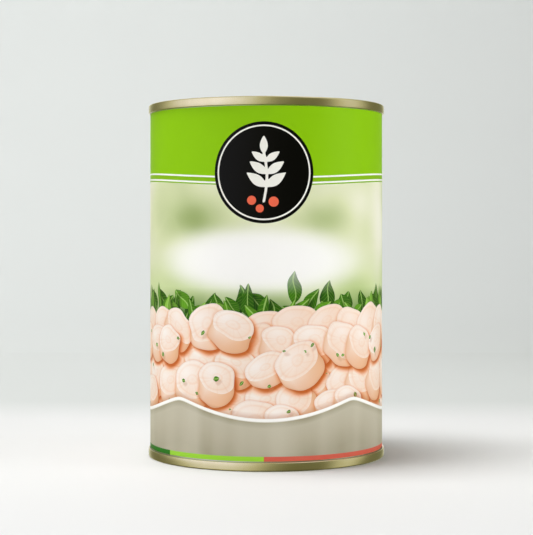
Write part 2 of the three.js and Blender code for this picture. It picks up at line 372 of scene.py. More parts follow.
WRAP = 2 * np.pi * LABEL_RADIUS / MM
FINE_STEP = 0.36  # between the label's points, across the emblem
COARSE_STEP = 0.58
BAND_EDGE = 86.75  # top of the upper white line, at the front and the back
BAND_RISE = 2.25  # how much higher it swings at the two sides
BAND_STRIPES = [0.5, 1.25, 0.5, 0.4]  # white, green, white, green, downwards
EMBLEM_CENTRE = (-0.7, 88.0)
EMBLEM_RADIUS = 15.0
SPRIG_STEM = (-8.5, 6.0)  # its lowest and highest, from the emblem's middle
SPRIG_STEM_HALF = 0.38
SPRIG_BOW = 0.9
SPRIG_PAIRS = [(-4.2, 7.2), (-0.4, 6.4), (3.2, 5.2)]  # level and leaf length
SPRIG_LEAN = 0.95
SPRIG_TIP_FOOT = 5.4
SPRIG_TIP = 5.6
BERRIES = [(-3.6, -8.2, 1.35), (-1.2, -10.6, 1.2), (2.9, -8.6, 1.5)]  # place across and up, radius
GLOW_CENTRE = (-2.0, 62.0)
GLOW_REACH = (32.0, 9.5)
MIST = 0.45
MIST_BLOTS = [  # place along and up, reach along and up, and how much darker
    (-25, 74, 12, 6, 0.45),
    (-46, 71, 13, 18, 0.42),
    (17, 74, 10, 5, 0.4),
    (31, 80, 7, 5, -0.15),
    (30, 53, 10, 6, 0.4),
    (46, 66, 8, 14, -0.3),
]
BLOTS_BEHIND = 26
BLOTS_FROM = 45  # how far round from the front the strewn blots start
BLOT_LEVELS = (55, 86)
BLOT_REACHES = (6, 12)
BLOT_STRENGTHS = (-0.35, 0.5)
LIME_MIST = (66.0, 50.0)  # levels between which the mist turns limier downwards
UNDERGROWTH = (54.0, 46.0)  # levels between which it turns dark downwards
LEAF_LAYERS = 6
LEAVES_A_LAYER = 27
LEAF_FOOT = 42.0
LEAF_DROP = 4.5  # how much lower the front layer's feet are than the back one's
LEAF_LENGTHS = (6.0, 10.0)
LEAF_HALF_WIDTHS = (1.4, 2.5)
LEAF_STRAYS = (0.8, 1.0)  # how far a foot strays, as standard deviations along and up
LEAF_LEAN = 1.15
LEAF_BEND = 0.22
LEAF_TONES = (-0.9, 0.3)
LEAF_FRONT_TONE = 0.7  # how much paler the front layer is
LEAF_SWELLS = 5
LEAF_SWELL = 0.14
LEAF_FADE = (52.0, 61.0)  # levels between which the leaves fade into the mist
SLICE_ROWS = np.arange(43.5, 14.0, -5.6)
SLICE_LAYERS = 8
SLICES_ROUND = 24
SLICE_RADII = (5.4, 7.3)
SLICE_FLATNESS = (0.55, 0.82)  # a slice's short radius over its long one
SLICE_THICKNESSES = (2.4, 4.0)
SLICE_STRAYS = (0.7, 0.6)
SLICE_LEAN = 0.7
FLECKS = 60
FLECK_LEVELS = (17, 43)
FLECK_LENGTHS = (1.1, 2.3)
FLECK_SLIMNESS = (0.2, 0.4)  # half-width over length
FLECK_BEND = 0.3
FLECK_TONES = (-0.4, 0.8)
SHADE_WAY = (0.7, -0.9)
FAR_OUTSIDE = -9.0
WAVES = 6
WAVE_REACH = 0.22
SWAGS = 4
SWAG_TOP = 20.5
SWAG_DROP = 6.0
SWAG_SOFT = 0.012
HEM = 1.1
HEM_SHADE = 1.8
CLOTH_DEPTH = 12.0
FOOT_STRIPE = 1.4
RULED_CENTRE = (104.0, 60.0)
RULED_HALF = (27.0, 31.0)
RULED_CORNER = 3.0
RULED_MARGIN = 4.0  # from its edge to its rules
RULE_SPACING = 5.8
RULE_HALF = 0.14
SEED = 407


def around(u, centre):
    """The way from centre to u along the wrap, the short way round."""
    return (u - centre + WRAP / 2) % WRAP - WRAP / 2


def spaced(low, high, near, far):
    """Places from low to high, a fine step apart between near and far and a coarse step apart beyond."""
    parts = [(low, near, COARSE_STEP), (near, far, FINE_STEP), (far, high, COARSE_STEP)]
    runs = [np.linspace(a, b, int(np.ceil((b - a) / step)), endpoint=False) for a, b, step in parts]
    return np.concatenate(runs + [[high]])


def empty_layers(name, count, shape):
    """Layers for one motif: the distance in from an edge, the same for the shade it casts, and a place."""
    outside = np.full(shape, FAR_OUTSIDE)
    nowhere = np.zeros((*shape, 3))
    return {f"{name}_{i}": {"inside": outside, "cast": outside, "place": nowhere} for i in range(count)}


def lay(layer, shape, u, v, *how):
    """Adds a cut-out to a layer. Where two of one layer meet, a point goes with the one that it is deeper in.

    A cut-out's shade is its outline, moved right and down.
    """
    inside, place = shape(u, v, *how)
    nearer = inside > layer["inside"]
    layer["inside"] = np.where(nearer, inside, layer["inside"])
    layer["place"] = np.where(nearer[..., None], place, layer["place"])
    cast, _ = shape(u - SHADE_WAY[0], v - SHADE_WAY[1], *how)
    layer["cast"] = np.maximum(layer["cast"], cast)


def leaf(u, v, foot, lean, length, half_width, bend, tone):
    """A pointed leaf: its half-width is a sine of the way along its curved midrib, skewed towards the foot.

    Gives the distance in from its edge, and its place: across from the midrib, share of its length, and tone.
    """
    du = around(u, foot[0])
    dv = v - foot[1]
    along = (du * np.sin(lean) + dv * np.cos(lean)) / length
    across = du * np.cos(lean) - dv * np.sin(lean) - bend * length * along**2
    width = half_width * np.sin(np.pi * np.clip(along, 0, 1) ** 0.8)
    beyond = np.maximum(-along, along - 1) * length
    inside = np.where(beyond > 0, -np.hypot(beyond, across), (width - np.abs(across)) * 0.95)
    return inside, np.stack([across, along, np.full(u.shape, tone)], -1)


def root_slice(u, v, centre, radii, lean, thickness, tone):
    """A round slice seen aslant: an elliptic cut face, and its side, the face carried along its short axis.

    Gives the distance in from its outline, and its place: shares of the face's two radii, and tone.
    """
    du = around(u, centre[0])
    dv = v - centre[1]
    x = (du * np.cos(lean) + dv * np.sin(lean)) / radii[0]
    y = (dv * np.cos(lean) - du * np.sin(lean)) / radii[1]
    carried = y + np.clip(-y, 0, thickness / radii[1])
    inside = (1 - np.hypot(x, carried)) * np.sqrt(radii[0] * radii[1])
    return inside, np.stack([x, y, np.full(u.shape, tone)], -1)


def wobbled(u, v, chance):
    """The grids u and v moved by a sum of sines that close round the wrap, to make shapes less regular."""
    moved_u, moved_v = u.copy(), v.copy()
    for _ in range(WAVES):
        round_wrap = chance.integers(14, 34) * chance.choice([-1, 1])
        upwards = chance.uniform(0.4, 0.9)
        wave = np.sin(2 * np.pi * round_wrap * u / WRAP + upwards * v + chance.uniform(0, 2 * np.pi))
        moved_u += chance.uniform(-WAVE_REACH, WAVE_REACH) * wave
        moved_v += chance.uniform(-WAVE_REACH, WAVE_REACH) * wave
    return moved_u, moved_v


def draw_leaves(layers, u, v, chance):
    """A garland round the can: each layer is an even ring of leaves, and later ones stand lower and paler.

    The leaves' lengths swell in sine waves round the can.
    """
    for k in range(LEAF_LAYERS):
        front = k / (LEAF_LAYERS - 1)
        for i in range(LEAVES_A_LAYER):
            place = (i + k / LEAF_LAYERS) * WRAP / LEAVES_A_LAYER
            level = LEAF_FOOT + LEAF_DROP * (1 - front)
            foot = (place + chance.normal(0, LEAF_STRAYS[0]), level + chance.normal(0, LEAF_STRAYS[1]))
            lean = chance.uniform(-LEAF_LEAN, LEAF_LEAN)
            swell = 1 + LEAF_SWELL * np.sin(LEAF_SWELLS * 2 * np.pi * place / WRAP + 1)
            length = chance.uniform(*LEAF_LENGTHS) * swell
            half_width = chance.uniform(*LEAF_HALF_WIDTHS)
            bend = chance.uniform(-LEAF_BEND, LEAF_BEND)
            tone = chance.uniform(*LEAF_TONES) + LEAF_FRONT_TONE * front
            lay(layers[f"leaf_{k}"], leaf, u, v, foot, lean, length, half_width, bend, tone)


def draw_slices(layers, u, v, chance):
    """Rows of slices round the can, in layers that step along and between rows, so no two of a layer touch.

    Those deeper in the pile are deeper in tone.
    """
    for row, level in enumerate(SLICE_ROWS):
        for i in range(SLICES_ROUND):
            place = (i + 0.5 * (row % 2)) * WRAP / SLICES_ROUND
            centre = (place + chance.normal(0, SLICE_STRAYS[0]), level + chance.normal(0, SLICE_STRAYS[1]))
            radius = chance.uniform(*SLICE_RADII)
            radii = (radius, radius * chance.uniform(*SLICE_FLATNESS))
            lean = chance.uniform(-SLICE_LEAN, SLICE_LEAN)
            thickness = chance.uniform(*SLICE_THICKNESSES)
            level_in_pile = (i + 3 * row) % SLICE_LAYERS
            tone = 0.5 * chance.uniform(-1, 1) + 0.5 - level_in_pile / (SLICE_LAYERS - 1)
            layer = layers[f"slice_{level_in_pile}"]
            lay(layer, root_slice, u, v, centre, radii, lean, thickness, tone)


def draw_flecks(layers, u, v, chance):
    """Chopped herb strewn over the slices: short bits of leaf at every angle."""
    for i in range(FLECKS):
        foot = ((i + chance.uniform(-0.4, 0.4)) * WRAP / FLECKS, chance.uniform(*FLECK_LEVELS))
        lean = chance.uniform(-np.pi, np.pi)
        length = chance.uniform(*FLECK_LENGTHS)
        half_width = length * chance.uniform(*FLECK_SLIMNESS)
        bend = chance.uniform(-FLECK_BEND, FLECK_BEND)
        tone = chance.uniform(*FLECK_TONES)
        lay(layers["fleck_0"], leaf, u, v, foot, lean, length, half_width, bend, tone)


def blade(du, dv, lean, length):
    """A small pointed leaf from the origin, as the distance in from its edge.

    Its half-width is a sine of the way along it, skewed towards the foot.
    """
    along = (du * np.sin(lean) + dv * np.cos(lean)) / length
    across = du * np.cos(lean) - dv * np.sin(lean)
    width = 0.21 * length * np.sin(np.pi * np.clip(along, 0, 1) ** 0.85)
    beyond = np.maximum(-along, along - 1) * length
    return np.where(beyond > 0, -np.hypot(beyond, across), width - np.abs(across))


def sprig_field(u, v):
    """The emblem's sprig, as the distance in from its edge: a bowed stem with paired leaves.

    The stem's middle line is half a sine wave, and the leaves shrink upwards.
    """
    du = u - EMBLEM_CENTRE[0]
    dv = v - EMBLEM_CENTRE[1]
    low, high = SPRIG_STEM
    bow = SPRIG_BOW * np.sin(np.pi * (dv - low) / (high - low))
    off_end = np.maximum(np.maximum(low - dv, dv - high), 0)
    cover = SPRIG_STEM_HALF - np.hypot(du - bow, off_end)
    for level, length in SPRIG_PAIRS:
        foot_bow = SPRIG_BOW * np.sin(np.pi * (level - low) / (high - low))
        for lean in (-SPRIG_LEAN, SPRIG_LEAN):
            cover = np.maximum(cover, blade(du - foot_bow, dv - level, lean, length))
    return np.maximum(cover, blade(du, dv - SPRIG_TIP_FOOT, 0, SPRIG_TIP))


def berry_field(u, v):
    """Three berries at the sprig's foot, as the distance in from the nearest one's edge."""
    du = u - EMBLEM_CENTRE[0]
    dv = v - EMBLEM_CENTRE[1]
    return np.max([radius - np.hypot(du - x, dv - y) for x, y, radius in BERRIES], axis=0)


def mist_field(u, v, chance):
    """How dark the blurred greens are: an even tone with soft blots, placed at the front and strewn behind.

    A blot adds its strength times exp(-d ** 2), d being the way from its middle over its reach.
    """
    blots = list(MIST_BLOTS)
    for _ in range(BLOTS_BEHIND):
        place = chance.uniform(BLOTS_FROM, WRAP - BLOTS_FROM)
        level = chance.uniform(*BLOT_LEVELS)
        reaches = chance.uniform(*BLOT_REACHES, 2)
        blots.append((place, level, *reaches, chance.uniform(*BLOT_STRENGTHS)))
    mist = np.full(u.shape, MIST)
    for centre, level, reach_u, reach_v, strength in blots:
        way = (around(u, centre) / reach_u) ** 2 + ((v - level) / reach_v) ** 2
        mist += strength * np.exp(-way)
    return mist


def draw_artwork(u, v):
    """All the label's fields on the grids u and v: distances in mm to its shapes' edges, places and tones.

    The cloth's edge drops by the size of a cosine, softened where two swags meet, and the band's edge swings
    up by a sine squared. The glow is exp(-d ** 6), d being the way from its middle over its reach. The panel
    is a rectangle with round corners.
    """
    chance = np.random.default_rng(SEED)
    layers = {
        **empty_layers("leaf", LEAF_LAYERS, u.shape),
        **empty_layers("slice", SLICE_LAYERS, u.shape),
        **empty_layers("fleck", 1, u.shape),
    }
    moved_u, moved_v = wobbled(u, v, chance)
    draw_leaves(layers, moved_u, moved_v, chance)
    draw_slices(layers, moved_u, moved_v, chance)
    draw_flecks(layers, u, v, chance)
    art = {}
    for name, layer in layers.items():
        for field, values in layer.items():
            art[f"{name}_{field}"] = values
    turn = u * MM / LABEL_RADIUS
    art["swag"] = v - SWAG_TOP + SWAG_DROP * np.sqrt(np.cos(turn * SWAGS / 2) ** 2 + SWAG_SOFT)
    art["band"] = BAND_EDGE + BAND_RISE * np.sin(turn) ** 2 - v
    art["emblem"] = np.hypot(u - EMBLEM_CENTRE[0], v - EMBLEM_CENTRE[1]) / EMBLEM_RADIUS
    art["sprig"] = sprig_field(u, v)
    art["berries"] = berry_field(u, v)
    art["mist"] = mist_field(u, v, chance)
    glow = (around(u, GLOW_CENTRE[0]) / GLOW_REACH[0]) ** 2 + ((v - GLOW_CENTRE[1]) / GLOW_REACH[1]) ** 2
    art["glow"] = np.exp(-(glow**3))
    beside = np.abs(around(u, RULED_CENTRE[0])) - RULED_HALF[0] + RULED_CORNER
    above = np.abs(v - RULED_CENTRE[1]) - RULED_HALF[1] + RULED_CORNER
    outside = np.hypot(np.maximum(beside, 0), np.maximum(above, 0))
    art["panel"] = RULED_CORNER - outside - np.minimum(np.maximum(beside, above), 0)
    return art


def make_label():
    """The label: a strip of paper, its section a thin rectangle, carried round the body and over its start.

    Each column of points is one such section: the printed face's points going up, then the two inner corners.
    It climbs over its start by a smooth step, and its glued end lifts by the square of the way to the end.
    """
    strip = WRAP * (2 * np.pi + LAP_TURN) / (2 * np.pi)
    start = WRAP * LAP_START / (2 * np.pi)
    low, high = LABEL_BOTTOM / MM, LABEL_TOP / MM
    margin = EMBLEM_RADIUS + 1
    u = spaced(start, start + strip, EMBLEM_CENTRE[0] - margin, EMBLEM_CENTRE[0] + margin)
    v = spaced(low, high, EMBLEM_CENTRE[1] - margin, EMBLEM_CENTRE[1] + margin)
    turn = u * MM / LABEL_RADIUS
    climb = np.clip((turn - LAP_START - 2 * np.pi + LAP_RAMP) / LAP_RAMP, 0, 1)
    climb = climb * climb * (3 - 2 * climb)
    lift = np.clip((turn - turn[-1] + LAP_LIFT_TURN) / LAP_LIFT_TURN, 0, 1) ** 2
    outer = LABEL_RADIUS + climb * (PAPER + LABEL_GAP) + lift * LAP_LIFT
    rows = len(v)
    loop = rows + 2
    radius = np.repeat(outer[:, None], loop, axis=1)
    radius[:, rows:] -= PAPER
    height = np.broadcast_to(np.concatenate([v, [high, low]]) * MM, radius.shape)
    bearing = turn[:, None]
    points = np.stack([radius * np.sin(bearing), -radius * np.cos(bearing), height], 2).reshape(-1, 3)
    i, j = grid_places(len(u) - 1, loop)
    above = (j + 1) % loop
    quads = np.stack([i * loop + j, (i + 1) * loop + j, (i + 1) * loop + above, i * loop + above], 1)
    first = np.arange(loop)[None]
    last = (len(u) - 1) * loop + np.arange(loop)[None, ::-1]
    label = mesh_piece("label_paper", points, [quads, first, last])
    grid_u = np.repeat(u[:, None], loop, axis=1)
    grid_v = height / MM
    for name, values in draw_artwork(grid_u, grid_v).items():
        give(label, name, values)
    printed = np.ones(radius.shape)
    printed[:, rows:] = 0
    give(label, "printed", printed)
    give(label, "along_wrap", grid_u)
    give(label, "up_label", grid_v)
    lay_out_for_bake(label, len(u), loop)
    return label


def lay_out_for_bake(label, columns, loop):
    """A map that spreads the printed face over most of the square, with the paper's other faces below it."""
    printed_share = 0.92
    strips = [(0.052, 0.062), (0.012, 0.048), (0.0, 0.008)]  # the top edge, the back and the bottom edge
    cut_ends = (0.068, 0.072)
    mesh = label.data
    corner_vertex = np.empty(len(mesh.loops), np.int32)
    mesh.loops.foreach_get("vertex_index", corner_vertex)
    column = corner_vertex // loop / (columns - 1)
    row = corner_vertex % loop
    rows = loop - 2
    across = 1 - printed_share + printed_share * row / (rows - 1)
    quad_count = (columns - 1) * loop
    of_face = np.repeat(np.arange(quad_count), 4)
    step = of_face % loop
    place = np.zeros((len(corner_vertex), 2))
    place[:, 0] = column
    place[:, 1] = across
    side = step - (rows - 1)
    lower, upper = np.array(strips).T
    on_side = np.flatnonzero(side >= 0)
    at_start = row[on_side] == step[on_side]
    place[on_side, 1] = np.where(at_start, lower[side[on_side]], upper[side[on_side]])
    caps = np.arange(4 * quad_count, len(corner_vertex))
    place[caps, 0] = row[caps] / loop
    place[caps, 1] = np.where(row[caps] < rows, *cut_ends)
    layer = mesh.uv_layers.new(name="OFBake")
    layer.uv.foreach_set("vector", place.astype(np.float32).ravel())


# Finishes


def wash(tree, colour, layers):
    """Lays inks over a colour one after another, each in a share that follows a value.

    A layer is (value, low, high, share at low, share at high, ink). Beyond low and high the share stays.
    """
    for value, low, high, at_low, at_high, ink in layers:
        share = add(
            tree, "ShaderNodeMapRange",
            {"Value": value, "From Min": low, "From Max": high, "To Min": at_low, "To Max": at_high},
        )
        colour = add(tree, "ShaderNodeMix", {0: share, 6: colour, 7: ink}, data_type="RGBA")
    return colour


def stencil(tree, colour, cuts):
    """Lays inks over a colour one after another, each with a sharp edge where a value passes a limit.

    A cut is (value, "LESS_THAN" or "GREATER_THAN", limit, ink).
    """
    for value, side, limit, ink in cuts:
        inside = add(tree, "ShaderNodeMath", {0: value, 1: limit}, operation=side)
        colour = add(tree, "ShaderNodeMix", {0: inside, 6: colour, 7: ink}, data_type="RGBA")
    return colour


def lacquered_tinplate():
    """Cold-rolled steel, tinned and gold-lacquered, then stamped and seamed.

    It gives a soft mirror with a warm tint, faint rings from the tools, and paler tin where lacquer is thin.
    """
    material, tree = new_material("gold_lacquered_tinplate")
    place = add(tree, "ShaderNodeTexCoord").outputs["Object"]
    split = add(tree, "ShaderNodeSeparateXYZ", {0: place})
    flat = add(tree, "ShaderNodeCombineXYZ", {"X": split.outputs["X"], "Y": split.outputs["Y"]})
    radius = add(tree, "ShaderNodeVectorMath", {0: flat}, operation="LENGTH")
    ring_place = add(tree, "ShaderNodeCombineXYZ", {"X": radius, "Y": split.outputs["Z"]})
    tool_rings = add(
        tree, "ShaderNodeTexNoise",
        {"Vector": ring_place, "Scale": 1 / (0.45 * MM), "Detail": 3.0, "Roughness": 0.6},
    )
    mottle = add(
        tree, "ShaderNodeTexNoise", {"Vector": place, "Scale": 1 / (6 * MM), "Detail": 4.0, "Roughness": 0.55}
    )
    scuffs = add(
        tree, "ShaderNodeTexNoise",
        {"Vector": place, "Scale": 1 / (0.9 * MM), "Detail": 5.0, "Roughness": 0.65},
    )
    lacquer = add(
        tree, "ShaderNodeValToRGB", {"Fac": mottle}, stops=[(0.3, tint("#D2C8A3")), (0.7, tint("#D8CFAD"))]
    )
    rubbed = add(tree, "ShaderNodeAttribute", attribute_name="rubbed")
    patchy = add(tree, "ShaderNodeMapRange", {"Value": scuffs, "From Min": 0.42, "From Max": 0.68})
    bare = add(tree, "ShaderNodeMath", {0: rubbed.outputs["Fac"], 1: patchy}, operation="MULTIPLY")
    colour = wash(tree, lacquer, [(bare, 0.0, 1.0, 0.0, 1.0, tint("#D9D3BE"))])
    roughness = add(
        tree, "ShaderNodeMapRange",
        {"Value": tool_rings, "From Min": 0.3, "From Max": 0.7, "To Min": 0.2, "To Max": 0.27},
    )
    relief = add(tree, "ShaderNodeBump", {"Height": tool_rings, "Strength": 0.05, "Distance": 0.02 * MM})
    shader = add(
        tree, "ShaderNodeBsdfPrincipled",
        {
            "Base Color": colour,
            "Metallic": 1.0,
            "Roughness": roughness,
            "Coat Weight": 0.6,
            "Coat Roughness": 0.12,
            "Normal": relief,
        },
    )
    add(tree, "ShaderNodeOutputMaterial", {"Surface": shader})
    return material


def plain_tinplate():
    """Tinned steel with no lacquer: a grey-white satin metal, with fine lines round it from the rolling."""
    material, tree = new_material("bright_tinplate")
    place = add(tree, "ShaderNodeTexCoord").outputs["Object"]
    stretch = add(tree, "ShaderNodeMapping", {"Vector": place, "Scale": (1, 1, 14)})
    rolling = add(
        tree, "ShaderNodeTexNoise",
        {"Vector": stretch, "Scale": 1 / (5 * MM), "Detail": 5.0, "Roughness": 0.6},
    )
    colour = add(
        tree, "ShaderNodeValToRGB", {"Fac": rolling}, stops=[(0.3, tint("#B9B7AF")), (0.7, tint("#CDCBC4"))]
    )
    roughness = add(
        tree, "ShaderNodeMapRange",
        {"Value": rolling, "From Min": 0.3, "From Max": 0.7, "To Min": 0.26, "To Max": 0.4},
    )
    shader = add(
        tree, "ShaderNodeBsdfPrincipled", {"Base Color": colour, "Metallic": 1.0, "Roughness": roughness}
    )
    add(tree, "ShaderNodeOutputMaterial", {"Surface": shader})
    return material


def pile(tree, name, count, soft):
    """Lays a motif's layers over each other, from the bottom up.

    Gives where any cut-out shows, the place on the one that shows, the shade that those above cast on it, and
    how near the closest edge is. The shade's edge is soft over so many mm.
    """
    place, shown, shade, rim = (0.0, 0.0, 0.0), 0.0, 0.0, -FAR_OUTSIDE
    for i in range(count):
        here, inside, cast = (
            add(tree, "ShaderNodeAttribute", attribute_name=f"{name}_{i}_{field}").outputs[output]
            for field, output in (("place", "Vector"), ("inside", "Fac"), ("cast", "Fac"))
        )
        on = add(tree, "ShaderNodeMath", {0: inside, 1: 0.0}, operation="GREATER_THAN")
        place = add(tree, "ShaderNodeMix", {0: on, 4: place, 5: here}, data_type="VECTOR")
        shown = add(tree, "ShaderNodeMath", {0: shown, 1: on}, operation="MAXIMUM")
        dark = add(
            tree, "ShaderNodeMapRange", {"Value": cast, "From Min": -soft, "From Max": 0.4 * soft},
            interpolation_type="SMOOTHSTEP",
        )
        deeper = add(tree, "ShaderNodeMath", {0: shade, 1: dark}, operation="MAXIMUM")
        shade = add(tree, "ShaderNodeMix", {0: on, 2: deeper, 3: 0.0})
        away = add(tree, "ShaderNodeMath", {0: inside}, operation="ABSOLUTE")
        nearest = add(tree, "ShaderNodeMath", {0: rim, 1: away}, operation="MINIMUM")
        rim = add(tree, "ShaderNodeMix", {0: on, 2: nearest, 3: away})
    return shown, place, shade, rim


def leaf_ink(tree, place, shade, rim):
    """A leaf's colours: darker on one side of a pale midrib, with side veins, and dim where it is shaded."""
    part = add(tree, "ShaderNodeSeparateXYZ", {0: place})
    across, along, tone = (part.outputs[axis] for axis in "XYZ")
    lightness = add(tree, "ShaderNodeMapRange", {"Value": tone, "From Min": -1.0, "From Max": 1.0})
    green = add(
        tree, "ShaderNodeValToRGB", {"Fac": lightness},
        stops=[
            (0.0, tint("#1D4604")), (0.4, tint("#346D0B")), (0.75, tint("#62A021")), (1.0, tint("#98C94E")),
        ],
    )
    from_rib = add(tree, "ShaderNodeMath", {0: across}, operation="ABSOLUTE")
    slanted = add(tree, "ShaderNodeMath", {0: along, 1: 9.0, 2: from_rib}, operation="MULTIPLY_ADD")
    vein = add(tree, "ShaderNodeMath", {0: slanted, 1: 0.55}, operation="PINGPONG")
    washes = [
        (across, -0.25, 0.25, 0.0, 0.36, tint("#1D4506")),
        (vein, 0.02, 0.16, 0.2, 0.0, tint("#A6D257")),
        (from_rib, 0.08, 0.24, 0.6, 0.0, tint("#B6DA78")),
        (rim, 0.0, 0.3, 0.35, 0.0, tint("#1F4409")),
        (shade, 0.0, 1.0, 0.0, 0.7, tint("#122F05")),
    ]
    return wash(tree, green, washes)


def slice_ink(tree, place, shade, rim):
    """A root slice's colours: a cream wet face with rings and rays, a deeper side, and amber in the shade."""
    part = add(tree, "ShaderNodeSeparateXYZ", {0: place})
    x, y, tone = (part.outputs[axis] for axis in "XYZ")
    flat = add(tree, "ShaderNodeCombineXYZ", {"X": x, "Y": y})
    ring = add(tree, "ShaderNodeVectorMath", {0: flat}, operation="LENGTH")
    bearing = add(tree, "ShaderNodeVectorMath", {0: flat}, operation="NORMALIZE")
    rays = add(tree, "ShaderNodeTexNoise", {"Vector": bearing, "Scale": 5.0, "Detail": 3.0})
    from_shine = add(tree, "ShaderNodeVectorMath", {0: flat, 1: (-0.38, 0.34, 0.0)}, operation="DISTANCE")
    face = add(
        tree, "ShaderNodeValToRGB", {"Fac": ring},
        stops=[
            (0.0, tint("#FAE6D7")), (0.15, tint("#FDF0E6")), (0.25, tint("#F9E2D1")),
            (0.33, tint("#FDF1E8")), (0.70, tint("#FCEDE1")), (0.78, tint("#F8E0CE")),
            (0.85, tint("#FDEFE5")), (0.95, tint("#FEF3EB")), (1.0, tint("#FFFCF8")),
        ],
    )
    washes = [
        (rays, 0.5, 0.68, 0.0, 0.25, tint("#EAB892")),
        (from_shine, 0.1, 0.7, 0.6, 0.0, tint("#FFFBF7")),
    ]
    face = wash(tree, face, washes)
    around_side = add(tree, "ShaderNodeMapRange", {"Value": x, "From Min": -1.0, "From Max": 1.0})
    side = add(
        tree, "ShaderNodeValToRGB", {"Fac": around_side},
        stops=[
            (0.0, tint("#F1CDAF")), (0.22, tint("#FDEEE2")), (0.5, tint("#F9DCC6")),
            (0.8, tint("#EDBF9A")), (1.0, tint("#DB9D72")),
        ],
    )
    side = wash(tree, side, [(ring, 1.0, 1.7, 0.08, 0.65, tint("#DC9C6E"))])
    root = stencil(tree, side, [(ring, "LESS_THAN", 1.0, face)])
    lit = add(tree, "ShaderNodeMath", {0: y, 1: x}, operation="SUBTRACT")
    washes = [
        (tone, -1.0, 1.0, 0.0, 0.42, tint("#F2C6A4")),
        (lit, 0.9, -1.5, 0.0, 0.36, tint("#EFC19B")),
        (rim, 0.0, 0.5, 0.25, 0.0, tint("#D99C6C")),
    ]
    root = wash(tree, root, washes)
    dark = add(
        tree, "ShaderNodeValToRGB", {"Fac": shade},
        stops=[
            (0.0, tint("#FFFFFF")), (0.4, tint("#FBE1CE")), (0.8, tint("#E7A678")), (1.0, tint("#CD7439")),
        ],
    )
    return add(tree, "ShaderNodeMix", {0: 1.0, 6: root, 7: dark}, data_type="RGBA", blend_type="MULTIPLY")


def misty_ground(tree, place, field):
    """The ground: out-of-focus greens, limier towards the leaves, with a bare white glow at the front.

    Low down it darkens in patches, as between stems.
    """
    up_label = field["up_label"]
    blur = add(
        tree, "ShaderNodeTexNoise", {"Vector": place, "Scale": 1 / (15 * MM), "Detail": 0.5, "Roughness": 0.4}
    )
    drift = add(
        tree, "ShaderNodeMapRange",
        {"Value": blur, "From Min": 0.3, "From Max": 0.7, "To Min": -0.12, "To Max": 0.12},
    )
    clouded = add(tree, "ShaderNodeMath", {0: field["mist"], 1: drift}, operation="ADD")
    ground = add(
        tree, "ShaderNodeValToRGB", {"Fac": clouded},
        stops=[
            (0.0, tint("#FDFCF5")), (0.25, tint("#EFEFD8")), (0.5, tint("#D9E0B3")),
            (0.75, tint("#BCC992")), (1.0, tint("#96A868")),
        ],
    )
    depths = add(
        tree, "ShaderNodeMapRange",
        {"Value": up_label, "From Min": UNDERGROWTH[0], "From Max": UNDERGROWTH[1]},
    )
    hollows = add(
        tree, "ShaderNodeMapRange",
        {"Value": blur, "From Min": 0.35, "From Max": 0.6, "To Min": 0.45, "To Max": 0.95},
    )
    behind = add(tree, "ShaderNodeMath", {0: depths, 1: hollows}, operation="MULTIPLY")
    washes = [
        (up_label, *LIME_MIST, 0.0, 0.5, tint("#BBD586")),
        (field["glow"], 0.0, 1.0, 0.0, 1.0, tint("#FFFEFB")),
        (behind, 0.0, 1.0, 0.0, 1.0, tint("#2F6410")),
    ]
    return wash(tree, ground, washes)


def heaped(tree, colour, field):
    """A colour with the garland, the slices and the chopped herb laid over it, and the hem's shade over them.

    Leaves that reach up out of the garland fade into the mist.
    """
    shown, spot, shade, rim = pile(tree, "leaf", LEAF_LAYERS, 1.2)
    low, high = LEAF_FADE
    clear = add(
        tree, "ShaderNodeMapRange",
        {"Value": field["up_label"], "From Min": low, "From Max": high, "To Min": 1.0, "To Max": 0.5},
    )
    leaves = add(tree, "ShaderNodeMath", {0: shown, 1: clear}, operation="MULTIPLY")
    washes = [(leaves, 0.0, 1.0, 0.0, 1.0, leaf_ink(tree, spot, shade, rim))]
    shown, spot, shade, rim = pile(tree, "slice", SLICE_LAYERS, 1.7)
    washes += [
        (shade, 0.0, 1.0, 0.0, 0.55, tint("#2A4710")),
        (shown, 0.0, 1.0, 0.0, 1.0, slice_ink(tree, spot, shade, rim)),
    ]
    shown, spot, shade, rim = pile(tree, "fleck", 1, 0.6)
    washes += [
        (shade, 0.0, 1.0, 0.0, 0.35, tint("#C4875C")),
        (shown, 0.0, 1.0, 0.0, 1.0, leaf_ink(tree, spot, shade, rim)),
        (field["swag"], HEM, HEM + HEM_SHADE, 0.5, 0.0, tint("#B8733F")),
    ]
    return wash(tree, colour, washes)


def hemmed_cloth(tree, place, field):
    """Grey cloth that hangs in soft folds, dark where its white hem shades it."""
    swag = field["swag"]
    stretch = add(tree, "ShaderNodeMapping", {"Vector": place, "Scale": (1, 1, 0.12)})
    folds = add(tree, "ShaderNodeTexNoise", {"Vector": stretch, "Scale": 1 / (9 * MM), "Detail": 1.0})
    down_cloth = add(tree, "ShaderNodeMapRange", {"Value": swag, "From Min": 0.0, "From Max": -CLOTH_DEPTH})
    cloth = add(
        tree, "ShaderNodeValToRGB", {"Fac": down_cloth},
        stops=[
            (0.0, tint("#9E967B")), (0.16, tint("#BDB7A2")), (0.5, tint("#B6AF99")), (1.0, tint("#A49D86")),
        ],
    )
    cloth = wash(tree, cloth, [(folds, 0.35, 0.65, 0.0, 0.4, tint("#D3CEBC"))])
    up_hem = add(tree, "ShaderNodeMapRange", {"Value": swag, "From Min": 0.0, "From Max": HEM})
    hem = add(
        tree, "ShaderNodeValToRGB", {"Fac": up_hem},
        stops=[
            (0.0, tint("#E2DDCF")), (0.3, tint("#FFFEFA")), (0.85, tint("#FFFEFA")), (1.0, tint("#EFEAE0")),
        ],
    )
    return stencil(tree, cloth, [(swag, "GREATER_THAN", 0.0, hem)])


